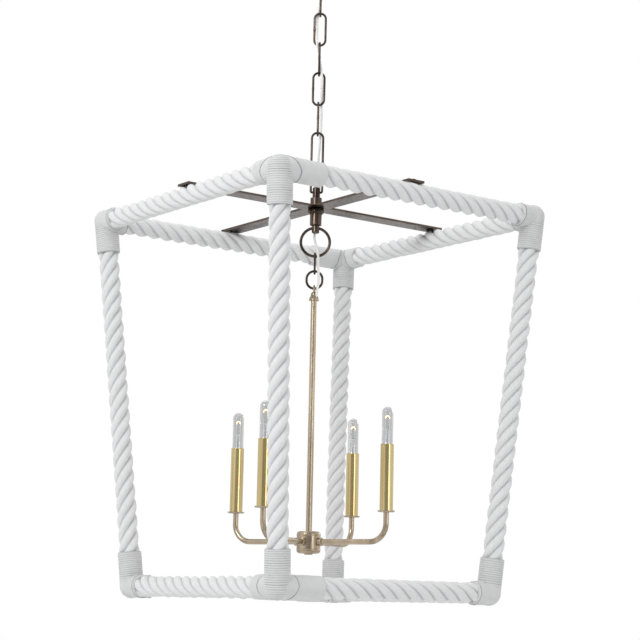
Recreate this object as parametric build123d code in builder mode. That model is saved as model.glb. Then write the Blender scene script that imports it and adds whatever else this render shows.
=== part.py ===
"""Open cage lantern: a rope-wrapped square cage on a chain, with a four-candle cluster hung inside it.

Millimetres, +Z up. The origin is the centre of the ceiling face, and everything hangs below it.
The cage's sides run along X and Y. The chain and the candle cluster are turned from them about Z.
"""

import os
from math import cos, pi, radians, sin, sqrt, tan

from build123d import *

os.makedirs("parts", exist_ok=True)

# ---------------------------------------------------------------- driving dimensions

# cage: half of each square's side and the height, all between rail centres
top_half = 279.0
bottom_half = 226.0
cage_height = 671.0
core_dia = 10.0
weld_rise = 0.6
weld_space_dia = 19.0
rope_dia = 37.0
rail_wrap_thickness = 2.0
leg_wrap_thickness = 3.0
rail_wrap_dia = rope_dia + 2 * rail_wrap_thickness
leg_wrap_dia = rope_dia + 2 * leg_wrap_thickness
leg_wrap_length = 60.0
short_rail_wrap = 36.0
long_rail_wrap = 88.0
rope_start = 26.0

# bars across the top, and the stem that they carry
bar_width = 35.0
bar_thickness = 4.0
bar_overhang = 9.0
bar_screw_dia = 5.0
bar_screw_head_dia = 10.0
bar_screw_head_height = 2.4
stem_dia = 21.5
stem_above_bars = 18.0
stem_below_bars = 45.0
stem_neck_dia = 14.0
stem_top_neck = 19.0
stem_bottom_neck = 15.0
neck_hole_from_end = 9.5
stem_collar_dia = 29.4
stem_collar_height = 7.6

# chain, with the closed connector link that hooks the stem
chain_turn = -36.5
link_count = 5
link_length = 66.0
link_width = 25.0
link_wire = 4.2
connector_length = 117.0
connector_corner = 3.2

# rings under the stem
ring_outer = 58.0
ring_wire = 5.2
small_link_length = 41.0
small_link_width = 18.0
small_link_wire = 4.0
small_ring_height = 36.5
small_ring_width = 33.0
small_ring_wire = 4.4

# ceiling fitting
canopy_dia = 130.0
canopy_depth = 27.0
canopy_wall = 1.4
canopy_lip = 5.0
crossbar_length = 106.0
crossbar_width = 20.0
crossbar_thickness = 2.6
box_screw_spacing = 89.0
box_screw_hole_dia = 5.2
nipple_dia = 10.2
nipple_bore = 6.6
lock_nut_flats = 16.0
lock_nut_height = 3.5
ring_nut_dia = 28.0
ring_nut_height = 7.0
loop_base_dia = 25.0
loop_base_height = 17.0
loop_base_floor = 4.0
loop_outer = 32.0
loop_wire = 5.0

# candle cluster
cluster_turn = 23.2
arm_count = 4
candle_circle_radius = 155.5
finial_eye_outer = 16.0
finial_eye_wire = 4.0
finial_top_dia = 10.5
finial_bottom_dia = 17.6
finial_height = 15.5
rod_dia = 11.0
rod_bore = 7.0
rod_length = 417.0
hub_dia = 42.4
hub_height = 38.8
hub_wall = 3.6
hub_edge = 5.0
cap_thickness = 3.0
cap_nut_dia = 15.0
cap_nut_height = 3.0
arm_dia = 9.8
arm_bore = 6.4
arm_bend_radius = 32.0
arm_below_cup = 51.5
ferrule_dia = 15.0
ferrule_length = 7.0
cup_dia = 30.6
cup_depth = 2.6
cup_wall = 1.2
sleeve_dia = 23.2
sleeve_wall = 1.0
sleeve_height = 117.0
socket_dia = 17.0
socket_length = 48.0
socket_below_sleeve_top = 8.0
socket_foot_dia = 13.5
bulb_base_dia = 11.8
bulb_base_length = 17.0
bulb_dia = 19.7
bulb_above_sleeve = 66.0
bulb_wall = 0.8

# supply cord
cord_dia = 4.6
cord_hole_dia = 5.8

# clearances
hang_gap = 0.3
pivot_gap = 0.45
slip_gap = 0.15
seat_gap = 0.05

stand = (Align.CENTER, Align.CENTER, Align.MIN)


# ---------------------------------------------------------------- helpers


def write(piece, label):
    """Labels a finished piece and writes its STEP file, named after it."""
    piece.label = label
    export_step(piece, f"parts/{label}.step")


def upright_plane(z, turn):
    """A vertical plane through the axis at height z: its X is level and turned about Z, its Y is up."""
    level = (cos(radians(turn)), sin(radians(turn)), 0)
    normal = (sin(radians(turn)), -cos(radians(turn)), 0)
    return Plane(origin=(0, 0, z), x_dir=level, z_dir=normal)


def turned_point(along, across, z, turn):
    """A point given along and across the level direction of an upright plane, as a row-frame vector."""
    c = cos(radians(turn))
    s = sin(radians(turn))
    return Vector(along * c - across * s, along * s + across * c, z)


def oval_link(middle_z, turn, length, width, wire):
    """A wire link with two straight sides and two half-round ends, upright in its plane."""
    end_radius = (width - wire) / 2
    half_side = (length - width) / 2
    with BuildPart() as link:
        with BuildLine(upright_plane(middle_z, turn)) as centre_line:
            Line((end_radius, -half_side), (end_radius, half_side))
            CenterArc((0, half_side), end_radius, 0, 180)
            Line((-end_radius, half_side), (-end_radius, -half_side))
            CenterArc((0, -half_side), end_radius, 180, 180)
        with BuildSketch(Plane(centre_line.line @ 0, z_dir=centre_line.line % 0)):
            Circle(wire / 2)
        sweep(path=centre_line.line)
    return link


def cord_tube(points, label):
    """Sweeps the cord along straight runs joined by tangent arcs, as large as the runs allow."""
    radii = []
    for before, corner, after in zip(points, points[1:], points[2:]):
        run_in = corner - before
        run_out = after - corner
        half_turn = radians(run_in.get_angle(run_out)) / 2
        radii.append(0.45 * min(run_in.length, run_out.length) / tan(half_turn))
    with BuildPart() as tube:
        with BuildLine() as route:
            FilletPolyline(*points, radius=radii)
        with BuildSketch(Plane(points[0], z_dir=points[1] - points[0])):
            Circle(cord_dia / 2)
        sweep(path=route.wires()[0])
    length = route.wires()[0].length
    swept = pi * cord_dia**2 / 4 * length
    print(f"{label}: length {length:.1f}, volume / (section x length) {tube.part.volume / swept:.4f}")
    print(f"{label}: radii", ", ".join(f"{r:.0f}" for r in radii))
    write(tube.part, label)


# ---------------------------------------------------------------- heights, from the ceiling down

link_hang = link_wire + hang_gap
link_centres = link_length - link_wire
link_pitch = link_centres - link_hang
connector_centres = connector_length - link_wire

loop_base_top = -canopy_depth - ring_nut_height
loop_base_bottom = loop_base_top - loop_base_height
loop_mean_radius = (loop_outer - loop_wire) / 2
loop_centre_z = loop_base_bottom - loop_mean_radius + 1.0
loop_bottom_z = loop_centre_z - loop_mean_radius

first_link_top_z = loop_bottom_z + (loop_wire + link_wire) / 2 + hang_gap
link_middle_z = [first_link_top_z - link_centres / 2 - n * link_pitch for n in range(link_count)]
connector_top_z = link_middle_z[-1] - link_centres / 2 + link_hang
connector_bottom_z = connector_top_z - connector_centres

stem_top_z = connector_bottom_z + neck_hole_from_end
bars_top_z = stem_top_z - stem_top_neck - stem_above_bars
bars_bottom_z = bars_top_z - bar_thickness
rail_z = bars_bottom_z - seat_gap - rope_dia / 2
stem_bottom_z = bars_bottom_z - stem_below_bars
stem_body_bottom_z = stem_bottom_z + stem_bottom_neck

ring_radius = (ring_outer - ring_wire) / 2
ring_bow = ring_radius - sqrt(ring_radius**2 - (stem_neck_dia / 2) ** 2)
ring_hole_z = stem_bottom_z + neck_hole_from_end
ring_centre_z = ring_hole_z + ring_bow / 2 - ring_radius
ring_bottom_z = ring_centre_z - ring_radius
small_link_top_z = ring_bottom_z + (ring_wire + small_link_wire) / 2 + hang_gap
small_link_middle_z = small_link_top_z - (small_link_length - small_link_wire) / 2
small_link_bottom_z = small_link_top_z - (small_link_length - small_link_wire)
small_ring_top_z = small_link_bottom_z + (small_link_wire + small_ring_wire) / 2 + hang_gap
small_ring_middle_z = small_ring_top_z - (small_ring_height - small_ring_wire) / 2
small_ring_bottom_z = small_ring_top_z - (small_ring_height - small_ring_wire)

eye_top_z = small_ring_bottom_z + (small_ring_wire + finial_eye_wire) / 2 + hang_gap
eye_radius = (finial_eye_outer - finial_eye_wire) / 2
eye_centre_z = eye_top_z - eye_radius
finial_top_z = eye_centre_z - eye_radius + 0.6
finial_bottom_z = finial_top_z - finial_height
rod_bottom_z = finial_bottom_z - rod_length
hub_top_z = rod_bottom_z
hub_bottom_z = hub_top_z - hub_height
arm_z = hub_top_z - 18.2
cup_floor_z = arm_z + arm_below_cup
sleeve_top_z = cup_floor_z + cup_wall + sleeve_height

for name, height in [("rails", rail_z), ("stem top", stem_top_z), ("arms", arm_z), ("sleeves", sleeve_top_z)]:
    print(f"{name}: z {height:.2f}")


# ---------------------------------------------------------------- ceiling fitting

with BuildPart() as ceiling_crossbar:
    with BuildSketch(Plane.XY.offset(-crossbar_thickness)):
        SlotOverall(crossbar_length, crossbar_width)
        Circle(nipple_dia / 2 + seat_gap, mode=Mode.SUBTRACT)
        with Locations((-box_screw_spacing / 2, 0), (box_screw_spacing / 2, 0)):
            Circle(box_screw_hole_dia / 2, mode=Mode.SUBTRACT)
    extrude(amount=crossbar_thickness)
write(ceiling_crossbar.part, "ceiling_crossbar")

nipple_bottom_z = loop_base_top - (loop_base_height - loop_base_floor) / 2
with BuildPart() as threaded_nipple:
    with BuildSketch(Plane.XY.offset(nipple_bottom_z)):
        Circle(nipple_dia / 2)
        Circle(nipple_bore / 2, mode=Mode.SUBTRACT)
    extrude(amount=-nipple_bottom_z - crossbar_thickness / 4)
write(threaded_nipple.part, "threaded_nipple")

with BuildPart() as lock_nut:
    with BuildSketch(Plane.XY.offset(-crossbar_thickness - seat_gap - lock_nut_height)):
        RegularPolygon(lock_nut_flats / 2, 6, major_radius=False)
        Circle(nipple_dia / 2 + seat_gap, mode=Mode.SUBTRACT)
    extrude(amount=lock_nut_height)
write(lock_nut.part, "lock_nut")

canopy_radius = canopy_dia / 2
canopy_flat_radius = ring_nut_dia / 2 + 4.0
with BuildPart() as canopy:
    with BuildSketch(Plane.XZ):
        with BuildLine():
            Line((0, -canopy_depth), (canopy_flat_radius, -canopy_depth))
            TangentArc((canopy_flat_radius, -canopy_depth), (canopy_radius, -canopy_lip), tangent=(1, 0))
            Polyline((canopy_radius, -canopy_lip), (canopy_radius, 0), (0, 0), (0, -canopy_depth))
        make_face()
    revolve(axis=Axis.Z)
    inner_radius = canopy_radius - canopy_wall
    inner_depth = canopy_depth - canopy_wall
    with BuildSketch(Plane.XZ):
        with BuildLine():
            Line((0, -inner_depth), (canopy_flat_radius, -inner_depth))
            TangentArc((canopy_flat_radius, -inner_depth), (inner_radius, -canopy_lip), tangent=(1, 0))
            Polyline((inner_radius, -canopy_lip), (inner_radius, 0), (0, 0), (0, -inner_depth))
        make_face()
    revolve(axis=Axis.Z, mode=Mode.SUBTRACT)
    with BuildSketch(Plane.XY.offset(-canopy_depth)):
        Circle(nipple_dia / 2 + slip_gap)
    extrude(amount=canopy_wall, mode=Mode.SUBTRACT)
write(canopy.part, "canopy")

with BuildPart() as canopy_ring_nut:
    with BuildSketch(Plane.XY.offset(loop_base_top + seat_gap)):
        Circle(ring_nut_dia / 2)
        Circle(nipple_dia / 2 + seat_gap, mode=Mode.SUBTRACT)
    extrude(amount=ring_nut_height - 2 * seat_gap)
    rims = canopy_ring_nut.edges().filter_by(GeomType.CIRCLE).group_by(SortBy.RADIUS)[-1]
    chamfer(rims, 1.0)
write(canopy_ring_nut.part, "canopy_ring_nut")

base_roof = 5.0
cord_exit = (5.0, 5.4)
with BuildPart() as canopy_loop:
    with BuildSketch(Plane.XY.offset(loop_base_bottom)):
        Circle(loop_base_dia / 2)
    extrude(amount=loop_base_height)
    foot_rim = canopy_loop.edges().group_by(Axis.Z)[0]
    fillet(foot_rim, 2.0)
    with BuildSketch(Plane.XY.offset(loop_base_bottom + loop_base_floor)):
        Circle(loop_base_dia / 2 - 2.2)
    extrude(amount=loop_base_height - loop_base_floor - base_roof, mode=Mode.SUBTRACT)
    with BuildSketch(Plane.XY.offset(loop_base_top)):
        Circle(nipple_dia / 2 + seat_gap)
    extrude(amount=-base_roof, mode=Mode.SUBTRACT)
    with Locations(upright_plane(loop_centre_z, chain_turn)):
        Torus(loop_mean_radius, loop_wire / 2)
    with Locations(turned_point(*cord_exit, loop_base_bottom, chain_turn)):
        Cylinder(cord_dia / 2 + hang_gap, 3 * loop_base_floor, mode=Mode.SUBTRACT)
write(canopy_loop.part, "canopy_loop")


# ---------------------------------------------------------------- chain

for number, middle in enumerate(link_middle_z, start=1):
    facing = chain_turn + (90 if number % 2 else 0)
    link = oval_link(middle, facing, link_length, link_width, link_wire)
    write(link.part, f"chain_link_{number}")

connector_half = (link_width - link_wire) / 2
with BuildPart() as connector_link:
    with BuildLine(upright_plane(connector_bottom_z, chain_turn)) as centre_line:
        top_bend = connector_centres - connector_half
        corner = connector_half - connector_corner
        Line((connector_half, connector_corner), (connector_half, top_bend))
        CenterArc((0, top_bend), connector_half, 0, 180)
        Line((-connector_half, top_bend), (-connector_half, connector_corner))
        CenterArc((-corner, connector_corner), connector_corner, 180, 90)
        Line((-corner, 0), (corner, 0))
        CenterArc((corner, connector_corner), connector_corner, 270, 90)
    with BuildSketch(Plane(centre_line.line @ 0, z_dir=centre_line.line % 0)):
        Circle(link_wire / 2)
    sweep(path=centre_line.line)
write(connector_link.part, "connector_link")


# ---------------------------------------------------------------- stem, collar and cross bars

neck_step = 1.5
with BuildPart() as hanger_stem:
    with BuildSketch(Plane.XZ):
        with BuildLine():
            neck = stem_neck_dia / 2
            body = stem_dia / 2
            body_top_z = stem_top_z - stem_top_neck
            Polyline(
                (0, stem_bottom_z),
                (neck, stem_bottom_z),
                (neck, stem_body_bottom_z - neck_step),
                (body, stem_body_bottom_z),
                (body, body_top_z - neck_step),
                (neck, body_top_z),
                (neck, stem_top_z),
                (0, stem_top_z),
                (0, stem_bottom_z),
            )
        make_face()
    revolve(axis=Axis.Z)
    ends = hanger_stem.edges().filter_by(GeomType.CIRCLE).sort_by(Axis.Z)
    fillet([ends[0], ends[-1]], 2.5)
    hole_axis = turned_point(1, 0, 0, chain_turn)
    with Locations(Plane(origin=(0, 0, connector_bottom_z), z_dir=hole_axis)):
        Cylinder(link_wire / 2 + pivot_gap, 2 * stem_dia, mode=Mode.SUBTRACT)
    with Locations(Plane(origin=(0, 0, ring_hole_z), z_dir=hole_axis)):
        Cylinder((ring_wire + ring_bow) / 2 + pivot_gap, 2 * stem_dia, mode=Mode.SUBTRACT)
write(hanger_stem.part, "hanger_stem")

with BuildPart() as stem_collar:
    with BuildSketch(Plane.XY.offset(bars_bottom_z - seat_gap - stem_collar_height)):
        Circle(stem_collar_dia / 2)
        Circle(stem_dia / 2 + seat_gap, mode=Mode.SUBTRACT)
    extrude(amount=stem_collar_height)
    rims = stem_collar.edges().filter_by(GeomType.CIRCLE).group_by(SortBy.RADIUS)[-1]
    fillet(rims, 1.8)
write(stem_collar.part, "stem_collar")

cord_behind_stem = (stem_collar_dia + cord_dia) / 2 + hang_gap
lap_z = (bars_top_z + bars_bottom_z) / 2
bar_reach = top_half + bar_overhang
cord_hole_at = turned_point(0, cord_behind_stem, 0, chain_turn)
for label, turn, lap_below in [("cross_bar_x", 0, False), ("cross_bar_y", 90, True)]:
    with BuildPart() as cross_bar:
        with BuildSketch(Plane.XY.offset(bars_bottom_z)):
            with Locations(Rot(0, 0, turn)):
                Rectangle(2 * bar_reach, bar_width)
            Circle(stem_dia / 2 + seat_gap, mode=Mode.SUBTRACT)
            with Locations((cord_hole_at.X, cord_hole_at.Y)):
                Circle(cord_hole_dia / 2, mode=Mode.SUBTRACT)
            with Locations(Rot(0, 0, turn)):
                with Locations((-top_half, 0), (top_half, 0)):
                    Circle(bar_screw_dia / 2 + slip_gap, mode=Mode.SUBTRACT)
        extrude(amount=bar_thickness)
        lap_floor = bars_bottom_z if lap_below else lap_z - seat_gap
        with BuildSketch(Plane.XY.offset(lap_floor)):
            Rectangle(bar_width + 2 * slip_gap, bar_width + 2 * slip_gap)
        extrude(amount=bar_thickness / 2 + seat_gap, mode=Mode.SUBTRACT)
    write(cross_bar.part, label)


# ---------------------------------------------------------------- cage: cores, ropes, wraps and screws

corner_signs = [(-1, -1), (1, -1), (1, 1), (-1, 1)]
corner_names = ["front", "right", "back", "left"]
bottom_rail_z = rail_z - cage_height
top_corners = [Vector(sx * top_half, sy * top_half, rail_z) for sx, sy in corner_signs]
bottom_corners = [Vector(sx * bottom_half, sy * bottom_half, bottom_rail_z) for sx, sy in corner_signs]

edges_by_name = {}
for n in range(4):
    following = (n + 1) % 4
    side = f"{corner_names[n]}_{corner_names[following]}"
    edges_by_name[f"top_rope_{side}"] = (top_corners[n], top_corners[following])
    edges_by_name[f"bottom_rope_{side}"] = (bottom_corners[n], bottom_corners[following])
    edges_by_name[f"leg_rope_{corner_names[n]}"] = (top_corners[n], bottom_corners[n])

with BuildPart() as frame_core:
    for start, end in edges_by_name.values():
        run = end - start
        with Locations(Plane(start, z_dir=run)):
            Cylinder(core_dia / 2, run.length, align=stand)
    for corner in top_corners + bottom_corners:
        with Locations(corner):
            Sphere(core_dia / 2 + weld_rise)
    for sx, sy in [(-1, 0), (1, 0), (0, -1), (0, 1)]:
        with Locations((sx * top_half, sy * top_half, rail_z)):
            Cylinder(bar_screw_dia / 2 + seat_gap, 2 * core_dia, mode=Mode.SUBTRACT)
write(frame_core.part, "frame_core")

for label, (start, end) in edges_by_name.items():
    run = end - start
    first = start + run.normalized() * rope_start
    with BuildPart() as rope:
        with BuildSketch(Plane(first, z_dir=run)):
            Circle(rope_dia / 2)
            Circle(core_dia / 2 + slip_gap, mode=Mode.SUBTRACT)
        extrude(amount=run.length - 2 * rope_start)
        if label.startswith("top"):
            with BuildSketch(Plane(origin=(start + end) / 2)):
                Circle(bar_screw_dia / 2 + 2 * slip_gap)
            extrude(amount=rope_dia, both=True, mode=Mode.SUBTRACT)
    write(rope.part, label)


for level, corners, others in [("top", top_corners, bottom_corners), ("bottom", bottom_corners, top_corners)]:
    with BuildPart() as corner_wraps:
        for n, corner in enumerate(corners):
            rail_wrap = short_rail_wrap if n % 2 else long_rail_wrap
            wrap_runs = [
                (others[n] - corner, leg_wrap_length, leg_wrap_dia),
                (corners[n - 1] - corner, rail_wrap, rail_wrap_dia),
                (corners[(n + 1) % 4] - corner, rail_wrap, rail_wrap_dia),
            ]
            with Locations(corner):
                Sphere(leg_wrap_dia / 2 + weld_rise)
            for run, length, outer_dia in wrap_runs:
                with Locations(Plane(corner, z_dir=run)):
                    Cylinder(outer_dia / 2, length, align=stand)
            with Locations(corner):
                Sphere(weld_space_dia / 2, mode=Mode.SUBTRACT)
            core_from = 0.37 * weld_space_dia
            for run, length, outer_dia in wrap_runs:
                with Locations(Plane(corner + run.normalized() * core_from, z_dir=run)):
                    Cylinder(core_dia / 2 + slip_gap, rope_start - core_from, align=stand, mode=Mode.SUBTRACT)
                with Locations(Plane(corner + run.normalized() * (rope_start - slip_gap), z_dir=run)):
                    Cylinder(rope_dia / 2 + slip_gap, length, align=stand, mode=Mode.SUBTRACT)
    write(corner_wraps.part, f"{level}_corner_wraps")

screw_length = bars_top_z - rail_z + core_dia / 2 - 1.0
with BuildPart() as bar_screws:
    for sx, sy in [(-1, 0), (1, 0), (0, -1), (0, 1)]:
        head_plane = Plane(origin=(sx * top_half, sy * top_half, bars_top_z + seat_gap))
        with BuildSketch(head_plane):
            Circle(bar_screw_dia / 2)
        extrude(amount=-screw_length)
        with BuildSketch(head_plane):
            Circle(bar_screw_head_dia / 2)
        extrude(amount=bar_screw_head_height)
    head_rims = bar_screws.edges().filter_by(GeomType.CIRCLE).group_by(Axis.Z)[-1]
    fillet(head_rims, bar_screw_head_height * 0.6)
write(bar_screws.part, "bar_screws")


# ---------------------------------------------------------------- rings between the stem and the cluster

with BuildPart() as hanging_ring:
    with Locations(upright_plane(ring_centre_z, chain_turn)):
        Torus(ring_radius, ring_wire / 2)
write(hanging_ring.part, "hanging_ring")

small_link = oval_link(
    small_link_middle_z, chain_turn + 90, small_link_length, small_link_width, small_link_wire
)
write(small_link.part, "small_link")

small_ring = oval_link(small_ring_middle_z, chain_turn, small_ring_height, small_ring_width, small_ring_wire)
write(small_ring.part, "small_ring")


# ---------------------------------------------------------------- candle cluster

cord_entry_along = 4.6
cord_entry_across = -5.0
cord_end_z = finial_bottom_z + 1.5
cord_end = turned_point(cord_entry_along * 0.55, cord_entry_across * 0.55, cord_end_z, chain_turn)
cord_above_entry = turned_point(cord_entry_along + 1.6, cord_entry_across - 1.2, finial_top_z + 7.0, chain_turn)
with BuildPart() as rod_finial:
    with BuildSketch(Plane.XZ):
        with BuildLine():
            top = finial_top_dia / 2
            bottom = finial_bottom_dia / 2
            Polyline((0, finial_bottom_z), (bottom, finial_bottom_z), (bottom, finial_bottom_z + 2.2))
            Spline(
                (bottom, finial_bottom_z + 2.2),
                (top + 1.0, finial_top_z - 6.0),
                (top, finial_top_z - 1.6),
                tangents=[(-0.2, 1), (-0.3, 1)],
            )
            Polyline((top, finial_top_z - 1.6), (top - 1.6, finial_top_z), (0, finial_top_z), (0, finial_bottom_z))
        make_face()
    revolve(axis=Axis.Z)
    with Locations(upright_plane(eye_centre_z, chain_turn + 90)):
        Torus(eye_radius, finial_eye_wire / 2)
    with BuildSketch(Plane.XY.offset(finial_bottom_z)):
        Circle(rod_bore / 2)
    extrude(amount=2.5, mode=Mode.SUBTRACT)
    entry_run = cord_above_entry - cord_end
    with BuildSketch(Plane(cord_end - entry_run.normalized() * hang_gap, z_dir=entry_run)):
        Circle(cord_dia / 2 + hang_gap)
    extrude(amount=entry_run.length, mode=Mode.SUBTRACT)
write(rod_finial.part, "rod_finial")

rod_socket_depth = 7.0
with BuildPart() as drop_rod:
    with BuildSketch(Plane.XY.offset(rod_bottom_z - rod_socket_depth)):
        Circle(rod_dia / 2)
        Circle(rod_bore / 2, mode=Mode.SUBTRACT)
    extrude(amount=rod_length + rod_socket_depth - seat_gap)
write(drop_rod.part, "drop_rod")

hub_radius = hub_dia / 2
hub_inner_radius = hub_radius - hub_wall
arm_turns = [cluster_turn + n * 360 / arm_count for n in range(arm_count)]
with BuildPart() as hub:
    with BuildSketch(Plane.XY.offset(hub_bottom_z)):
        Circle(hub_radius)
    extrude(amount=hub_height)
    fillet(hub.edges().filter_by(GeomType.CIRCLE), hub_edge)
    with BuildSketch(Plane.XY.offset(hub_bottom_z)):
        Circle(hub_inner_radius - hub_edge / 2)
    extrude(amount=cap_thickness + 1.0, mode=Mode.SUBTRACT)
    with BuildSketch(Plane.XY.offset(hub_bottom_z + cap_thickness + 1.0)):
        Circle(hub_inner_radius)
    extrude(amount=hub_height - cap_thickness - 1.0 - rod_socket_depth, mode=Mode.SUBTRACT)
    with BuildSketch(Plane.XY.offset(hub_top_z)):
        Circle(rod_dia / 2 + seat_gap)
    extrude(amount=-rod_socket_depth, mode=Mode.SUBTRACT)
    for turn in arm_turns:
        with Locations(Plane(origin=turned_point(hub_radius, 0, arm_z, turn), z_dir=turned_point(1, 0, 0, turn))):
            Cylinder(arm_dia / 2 + seat_gap, 4 * hub_wall, mode=Mode.SUBTRACT)
write(hub.part, "hub")

with BuildPart() as hub_cap:
    with BuildSketch(Plane.XY.offset(hub_bottom_z + 0.6)):
        Circle(hub_inner_radius - hub_edge / 2 - seat_gap)
        Circle(2.0, mode=Mode.SUBTRACT)
    extrude(amount=cap_thickness)
write(hub_cap.part, "hub_cap")

with BuildPart() as cap_nut:
    with BuildSketch(Plane.XY.offset(hub_bottom_z + 0.6 - seat_gap)):
        Circle(cap_nut_dia / 2)
    extrude(amount=-cap_nut_height)
    nut_rim = cap_nut.edges().group_by(Axis.Z)[0]
    fillet(nut_rim, 1.4)
    with BuildSketch(Plane.XY.offset(hub_bottom_z + 0.6 - seat_gap - 0.5)):
        Circle(2.0 - seat_gap)
    extrude(amount=cap_thickness + 2.0)
write(cap_nut.part, "cap_nut")

arm_inner_end = hub_inner_radius - 1.5
arm_top_z = cup_floor_z + cup_wall + 8.0
bend_start = candle_circle_radius - arm_bend_radius
with BuildPart() as arms:
    for turn in arm_turns:
        with BuildLine(upright_plane(arm_z, turn)) as arm_line:
            Line((arm_inner_end, 0), (bend_start, 0))
            CenterArc((bend_start, arm_bend_radius), arm_bend_radius, 270, 90)
            Line((candle_circle_radius, arm_bend_radius), (candle_circle_radius, arm_top_z - arm_z))
        with BuildSketch(Plane(arm_line.line @ 0, z_dir=arm_line.line % 0)):
            Circle(arm_dia / 2)
            Circle(arm_bore / 2, mode=Mode.SUBTRACT)
        sweep(path=arm_line.line)
write(arms.part, "arms")

with BuildPart() as arm_ferrules:
    for turn in arm_turns:
        outward = turned_point(1, 0, 0, turn)
        with BuildSketch(Plane(outward * (hub_radius - 2.0) + Vector(0, 0, arm_z), z_dir=outward)):
            Circle(ferrule_dia / 2)
            Circle(arm_dia / 2 + seat_gap, mode=Mode.SUBTRACT)
        extrude(amount=ferrule_length + 2.0)
    fillet(arm_ferrules.edges().filter_by(GeomType.CIRCLE).group_by(SortBy.RADIUS)[-1], 1.5)
    with BuildSketch(Plane.XY.offset(arm_z - ferrule_dia)):
        Circle(hub_radius + seat_gap)
    extrude(amount=2 * ferrule_dia, mode=Mode.SUBTRACT)
write(arm_ferrules.part, "arm_ferrules")

candle_spots = [turned_point(candle_circle_radius, 0, 0, turn) for turn in arm_turns]
with BuildPart() as drip_cups:
    for spot in candle_spots:
        with Locations(spot + Vector(0, 0, cup_floor_z)):
            Cylinder(cup_dia / 2, cup_depth, align=stand)
    lower_rims = drip_cups.edges().group_by(Axis.Z)[0]
    chamfer(lower_rims, cup_depth * 0.6)
    for spot in candle_spots:
        with Locations(spot + Vector(0, 0, cup_floor_z + cup_wall)):
            dish_radius = cup_dia / 2 - cup_wall
            Cylinder(dish_radius, cup_depth, align=stand, mode=Mode.SUBTRACT)
        with Locations(spot + Vector(0, 0, cup_floor_z)):
            Cylinder(arm_dia / 2 + seat_gap, 4 * cup_depth, mode=Mode.SUBTRACT)
write(drip_cups.part, "drip_cups")

sleeve_bottom_z = cup_floor_z + cup_wall + seat_gap
for number, spot in enumerate(candle_spots, start=1):
    with BuildPart() as candle_sleeve:
        with BuildSketch(Plane(origin=spot + Vector(0, 0, sleeve_bottom_z))):
            Circle(sleeve_dia / 2)
            Circle(sleeve_dia / 2 - sleeve_wall, mode=Mode.SUBTRACT)
        extrude(amount=sleeve_top_z - sleeve_bottom_z)
    write(candle_sleeve.part, f"candle_sleeve_{number}")

socket_top_z = sleeve_top_z - socket_below_sleeve_top
socket_foot_z = cup_floor_z + cup_wall + seat_gap
base_clear = 0.35
with BuildPart() as lamp_sockets:
    for spot in candle_spots:
        with BuildSketch(Plane(origin=spot + Vector(0, 0, socket_foot_z))):
            Circle(socket_foot_dia / 2)
        extrude(amount=socket_top_z - socket_foot_z)
        with BuildSketch(Plane(origin=spot + Vector(0, 0, socket_top_z - socket_length))):
            Circle(socket_dia / 2)
        extrude(amount=socket_length)
        with BuildSketch(Plane(origin=spot + Vector(0, 0, socket_top_z))):
            Circle(bulb_base_dia / 2 + base_clear)
        extrude(amount=-bulb_base_length - 2.0, mode=Mode.SUBTRACT)
        with BuildSketch(Plane(origin=spot + Vector(0, 0, socket_foot_z))):
            Circle(arm_dia / 2 + seat_gap)
        extrude(amount=arm_top_z - socket_foot_z + 1.0, mode=Mode.SUBTRACT)
write(lamp_sockets.part, "lamp_sockets")

glass_bottom_z = socket_top_z + 0.6
base_contact = 2.0
bulb_radius = bulb_dia / 2
glass_neck_radius = bulb_base_dia / 2 - 0.3
neck_height = sleeve_top_z - 2.5 - glass_bottom_z
straight_height = bulb_above_sleeve + 2.5 - bulb_radius
for number, spot in enumerate(candle_spots, start=1):
    with BuildPart() as bulb_base:
        with BuildSketch(Plane(origin=spot + Vector(0, 0, glass_bottom_z))):
            Circle(bulb_base_dia / 2)
        extrude(amount=-bulb_base_length)
        with BuildSketch(Plane(origin=spot + Vector(0, 0, glass_bottom_z - bulb_base_length))):
            Circle(bulb_base_dia / 4)
        extrude(amount=-base_contact + 0.4)
    write(bulb_base.part, f"bulb_base_{number}")

    with BuildPart() as bulb_glass:
        for wall, mode in [(0, Mode.ADD), (bulb_wall, Mode.SUBTRACT)]:
            with Locations(spot + Vector(0, 0, glass_bottom_z)):
                Cone(glass_neck_radius - wall, bulb_radius - wall, neck_height, align=stand, mode=mode)
            with Locations(spot + Vector(0, 0, glass_bottom_z + neck_height)):
                Cylinder(bulb_radius - wall, straight_height, align=stand, mode=mode)
            with Locations(spot + Vector(0, 0, glass_bottom_z + neck_height + straight_height)):
                Sphere(bulb_radius - wall, mode=mode)
    write(bulb_glass.part, f"bulb_glass_{number}")


# ---------------------------------------------------------------- supply cord

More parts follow.
